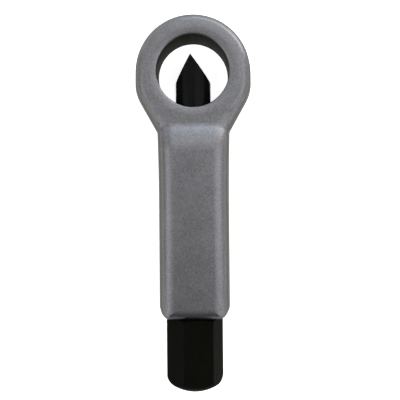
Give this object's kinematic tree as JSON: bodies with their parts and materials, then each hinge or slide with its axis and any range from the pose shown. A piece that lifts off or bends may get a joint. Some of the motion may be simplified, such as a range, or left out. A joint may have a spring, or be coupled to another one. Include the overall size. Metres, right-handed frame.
{
  "type": "nut splitter",
  "caption": "Ring-type nut splitter: a forged ring and handle in one, with a wedge chisel that a hexagon-headed forcing screw drives into the eye.",
  "frame": {"origin": "centre of the eye, halfway through the ring's thickness, where the eye's axis crosses the tool's long axis", "axes": "+Z along the eye's axis, out of the front face; +Y along the tool from the hexagon to the ring, the way the chisel advances; +X to the right seen from the front"},
  "size_m": [0.033, 0.1064, 0.0164],
  "materials": {
    "satin_nickel": "shot-blasted forging under satin nickel-chrome plate",
    "blackened_tool_steel": "ground tool steel, blackened",
    "black_oxide": "machined steel, oiled black oxide",
    "bearing_steel": "polished hardened ball",
    "spring_steel": "drawn spring wire"
  },
  "bodies": {
    "frame": {"forged_body": "satin_nickel", "guide_screw": "black_oxide"},
    "chisel": {"chisel": "blackened_tool_steel", "thrust_ball": "bearing_steel", "snap_ring": "spring_steel"},
    "screw": {"forcing_screw": "black_oxide"}
  },
  "joints": [
    {"name": "chisel_slide", "type": "slide", "parent": "frame", "child": "chisel", "axis": [0, -1, 0], "range_m": [0, 0.0152]},
    {"name": "screw_turn", "type": "hinge", "parent": "chisel", "child": "screw", "pos_m": [0, -0.0689, 0], "axis": [0, -1, 0], "range_deg": [0, 3648]}
  ],
  "couplings": [
    {"joint": "screw_turn", "follows": "chisel_slide", "rad_per_m": 4188.8}
  ]
}
